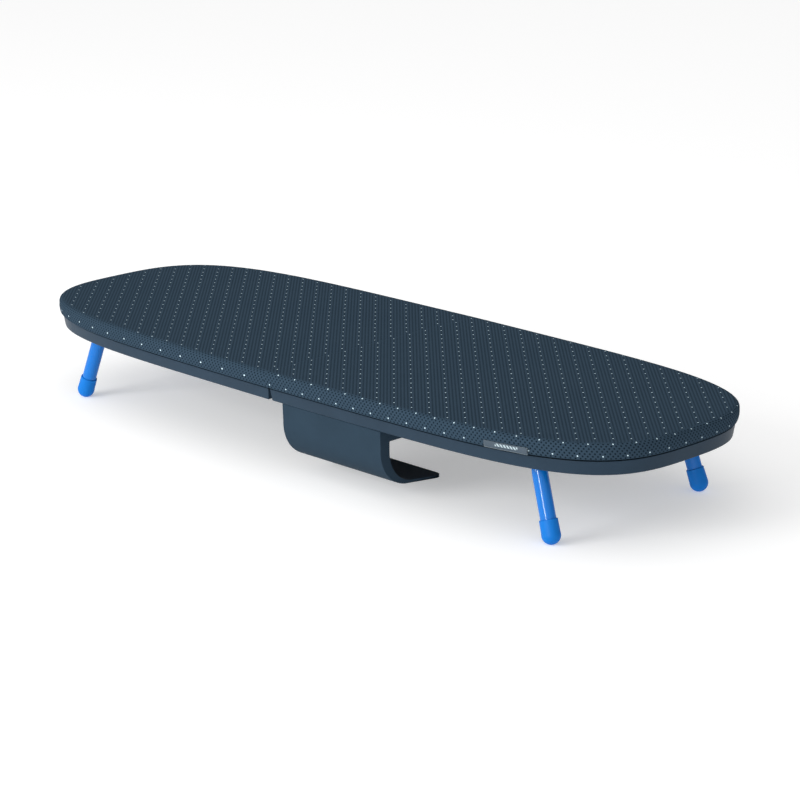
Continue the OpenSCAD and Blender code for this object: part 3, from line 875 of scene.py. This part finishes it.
def hook_section():
    """Closed section of the hook, as (y, z): down the outer face to the lip's tip, and back up inside."""
    outer = (HOOK_Y + HOOK_BEND, HOOK_LOW + HOOK_BEND)
    inner = (HOOK_Y + HOOK_T + HOOK_INNER, LIP_ROOT + HOOK_INNER)
    turn_end = 1.5 * math.pi - LIP_SLOPE
    turn_back = turn_end - math.pi
    off = at_angle(outer, HOOK_BEND, turn_end)
    r = LIP_T / 2
    tip = (LIP_Y - r, off[1] - (LIP_Y - r - off[0]) * math.tan(LIP_SLOPE) + r)
    taper = [1 - (1 - i / LIP_STEPS) ** 2 for i in range(1, LIP_STEPS)]  # closer together towards the tip
    low, plate = RIM_Z - HOOK_T, HOOK_Y + HOOK_T

    face = [(y, RIM_Z) for y in (*ARM_STEPS, -0.13, HOOK_Y + 0.006, HOOK_Y)]
    face.append((HOOK_Y - SHOULDER, RIM_Z - SHOULDER))
    face += [(HOOK_Y + dy, z) for dy, z in PLATE_SWELL]
    face += sweep(outer, HOOK_BEND, math.pi, turn_end, 22)
    face += [lerp(off, at_angle(tip, r, turn_end), f) for f in taper]
    face += sweep(tip, r, turn_end, turn_end + math.pi / 2, 6)

    back = [(y, low) for y in (*ARM_STEPS, plate + 0.002, plate + 0.0006)]
    back.append((plate, low - SHOULDER))
    back += sweep(inner, HOOK_INNER, math.pi, turn_end, 18)
    back += [lerp(at_angle(inner, HOOK_INNER, turn_end), at_angle(tip, r, turn_back), f) for f in taper]
    back += sweep(tip, r, turn_back, turn_back - math.pi / 2, 6)
    return face + back[::-1][1:]


def build_hook():
    """Moulded hook: arm, plate, round bend and lip in one section carried along the board."""
    ring = hook_section()
    verts, faces = [], []
    for y, z in ring:
        gone = 0.0  # what the lip's round corners take off each end
        near = LIP_Y - y
        if z < LIP_TOP and near < LIP_CORNER:
            gone = LIP_CORNER - math.sqrt(max(0.0, LIP_CORNER**2 - (LIP_CORNER - near) ** 2))
        x0, x1 = HOOK_X[0] + gone, HOOK_X[1] - gone
        verts += [(x0 + (x1 - x0) * i / HOOK_COLUMNS, y, z) for i in range(HOOK_COLUMNS + 1)]
    w, n = HOOK_COLUMNS + 1, len(ring)
    for j in range(n):
        m = (j + 1) % n
        faces += [[j * w + i, j * w + i + 1, m * w + i + 1, m * w + i] for i in range(HOOK_COLUMNS)]
    faces += [[j * w + i for j in range(n)] for i in (0, HOOK_COLUMNS)]
    hook = new_piece("door_hook_moulding", verts, faces)
    fix_normals(hook)
    for x, y in HOOK_SCREWS:
        cut(hook, prism("bore", circle(x, y, BORE_R), BORE_LOW, SEAT_Z))
        cut(hook, prism("hole", circle(x, y, HOLE_R, 24), HOLE_LOW, HOLE_HIGH))
    fix_normals(hook)
    smooth_faces(hook)
    return hook


hook = build_hook()
finish_piece(hook, "right_half", HOOK_MAT)
bevel(hook, 0.0009, 3, 45)
weighted(hook)
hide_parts("door_hook")


# ================================================================ tag
TAG_X = (0.304, 0.352)  # its two ends along the board
TAG_Z = (0.0949, 0.1018)  # its lower and upper edge
TAG_ACROSS, TAG_UP = 30, 7  # mesh steps
TAG_THICK = 0.00022
TAG_FRONT, TAG_BACK = 0.00062, 0.0002  # distance of the tag's two layers from the cloth
# the fold between them: share of the tag's height, and distance from the cloth
TAG_FOLD = [(0.03, 0.00064), (0.0, 0.00052), (-0.01, 0.0004), (0.0, 0.00028), (0.03, TAG_BACK)]
TAG_LOOSE = 0.0013  # how far the right end stands off
TAG_RIPPLE = 0.00012  # height of the faint waves along its lower edge


def cloth_inset(z):
    """Inset of the cloth's outer face at height z on its side."""
    side_face = EDGE[2:16]
    return float(np.interp(-z, [-e[1] for e in side_face], [e[0] for e in side_face]))


def build_tag():
    """Woven label on the front band: a folded strip, sewn in along its top, with its right end standing off.
    Returns it and the strip's length."""
    xs = [outline(a)[0] for a in ANGLES]
    t0, t1 = (float(np.interp(x, xs, ANGLES)) for x in TAG_X)
    width, tall = TAG_X[1] - TAG_X[0], TAG_Z[1] - TAG_Z[0]
    section = [(1 - i / TAG_UP, TAG_FRONT) for i in range(TAG_UP)] + TAG_FOLD
    section += [(i / TAG_UP, TAG_BACK) for i in range(1, TAG_UP + 1)]
    path = [0.0]
    for (h0, o0), (h1, o1) in zip(section, section[1:]):
        path.append(path[-1] + math.hypot((h1 - h0) * tall, o1 - o0))
    verts, faces, uvs = [], [], []
    for i in range(TAG_ACROSS + 1):
        f = i / TAG_ACROSS
        t = t0 + (t1 - t0) * f
        for h, off in section:
            z = TAG_Z[0] + tall * h
            loose = max(0.0, (f - 0.5) / 0.5) ** 1.7 * (0.25 + 0.75 * (1 - h))
            front = 1.0 if off > 0.0003 else 0.6  # the back layer follows less
            lift = off + TAG_LOOSE * loose * front + TAG_RIPPLE * math.sin(f * 9) * (1 - h)
            verts.append((*inset(t, cloth_inset(z) - lift), z))
    w = len(section)
    for i in range(TAG_ACROSS):
        for k in range(w - 1):
            corners = [(i, k), (i + 1, k), (i + 1, k + 1), (i, k + 1)]
            faces.append([a * w + b for a, b in corners])
            uvs.append([(width * a / TAG_ACROSS, tall - path[b]) for a, b in corners])
    tag = new_piece("side_tag", verts, faces, uvs)
    mod = tag.modifiers.new("thickness", "SOLIDIFY")
    mod.thickness = TAG_THICK
    mod.offset = 0
    bpy.context.view_layer.update()
    apply_modifiers(tag)
    return tag, path[-1]


tag, tag_cut = build_tag()
finish_piece(tag, "right_half", TAG_MAT)
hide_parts("cover_tag")


# ================================================================ carried-over CAD nodes
for half in ("right", "left"):
    dress(half + "_frame", FRAME_MAT, 0)
    dress(half + "_leg", LEG_MAT, 0)
    dress(half + "_screws", SCREW_MAT, 0.00012)
    dress("hinge_leaf_" + half, HINGE_MAT, 0.0002)
    dress("hinge_rivets_" + half, SCREW_MAT, 0.0002)
    for end in ("front", "rear"):
        dress(f"{half}_foot_{end}", CAP_MAT, 0.0006, 3, 50)
        dress(f"{half}_saddle_{end}", SADDLE_MAT, 0.0006, 3)
dress("hook_screws", SCREW_MAT, 0.0002)
dress("hinge_pin", SCREW_MAT, 0.0003)
dress("lock_bar", LOCK_MAT, 0.0005, 3)
dress("lock_guide", SADDLE_MAT, 0)
dress("lock_keeper", SADDLE_MAT, 0.0005, 3)


# ================================================================ stage, light and camera
FLOOR = 14.0  # half the floor's width
FLOOR_GREY = (0.76, 0.76, 0.76, 1)
FLOOR_GLOW = 0.37  # keeps it nearly white away from the lights
SKY_LEVEL = 0.72
SKY_TOWARDS = (-0.04, -0.55, 0.0)  # the studio is brighter on this side
LENS, SENSOR = 115.28, 36  # in mm
CAMERA_PLACE = (1.9118, -1.8835, 0.8410)
CAMERA_TILT, CAMERA_TURN = 73.51, 44.829  # degrees up from straight down, and round from facing +Y


def floor_material():
    s = Shade("studio floor")
    s.set(
        Base_Color=FLOOR_GREY,
        Roughness=0.9,
        Specular_IOR_Level=0.0,
        Emission_Color=(1, 1, 1, 1),
        Emission_Strength=FLOOR_GLOW,
    )
    return s.mat


corners = [(-FLOOR, -FLOOR, 0), (FLOOR, -FLOOR, 0), (FLOOR, FLOOR, 0), (-FLOOR, FLOOR, 0)]
floor = new_piece("floor", corners, [(0, 1, 2, 3)], smooth=False)
floor.data.materials.append(floor_material())


def studio_world():
    """White surroundings, brighter towards one side."""
    world = bpy.data.worlds.new("studio")
    world.use_nodes = True
    nodes, links = world.node_tree.nodes, world.node_tree.links
    sky = nodes["Background"]
    sky.inputs["Color"].default_value = (1, 1, 1, 1)
    side = nodes.new("ShaderNodeVectorMath")
    side.operation = "DOT_PRODUCT"
    side.inputs[1].default_value = SKY_TOWARDS
    level = nodes.new("ShaderNodeMath")
    level.operation = "ADD"
    level.inputs[1].default_value = SKY_LEVEL
    links.new(nodes.new("ShaderNodeTexCoord").outputs["Generated"], side.inputs[0])
    links.new(side.outputs["Value"], level.inputs[0])
    links.new(level.outputs[0], sky.inputs["Strength"])
    return world


def softbox(name, place, aim, size, power):
    """Rectangular light that faces aim."""
    light = bpy.data.lights.new(name, "AREA")
    light.shape = "RECTANGLE"
    light.size, light.size_y = size
    light.energy = power
    obj = bpy.data.objects.new(name, light)
    bpy.context.scene.collection.objects.link(obj)
    obj.location = place
    obj.rotation_euler = (Vector(aim) - Vector(place)).to_track_quat("-Z", "Y").to_euler()
    return obj


bpy.context.scene.world = studio_world()
softbox("key", place=(-0.9, -3.25, 1.30), aim=(0, 0, 0.08), size=(1.8, 1.5), power=71)
softbox("overhead", place=(-0.4, -0.3, 2.8), aim=(0, 0, 0.08), size=(2.6, 2.0), power=6)
strip = softbox("strip", place=(0.9, -2.6, 0.9), aim=(0.36, -0.1, 0.05), size=(0.15, 1.6), power=75)
strip.visible_diffuse = False  # it only draws the narrow highlight on the tubes

camera = bpy.data.cameras.new("camera")
camera.lens = LENS
camera.sensor_width = SENSOR
camera_obj = bpy.data.objects.new("camera", camera)
bpy.context.scene.collection.objects.link(camera_obj)
camera_obj.location = CAMERA_PLACE
camera_obj.rotation_euler = (math.radians(CAMERA_TILT), 0, math.radians(CAMERA_TURN))
bpy.context.scene.camera = camera_obj
bpy.context.scene.view_settings.view_transform = "Standard"
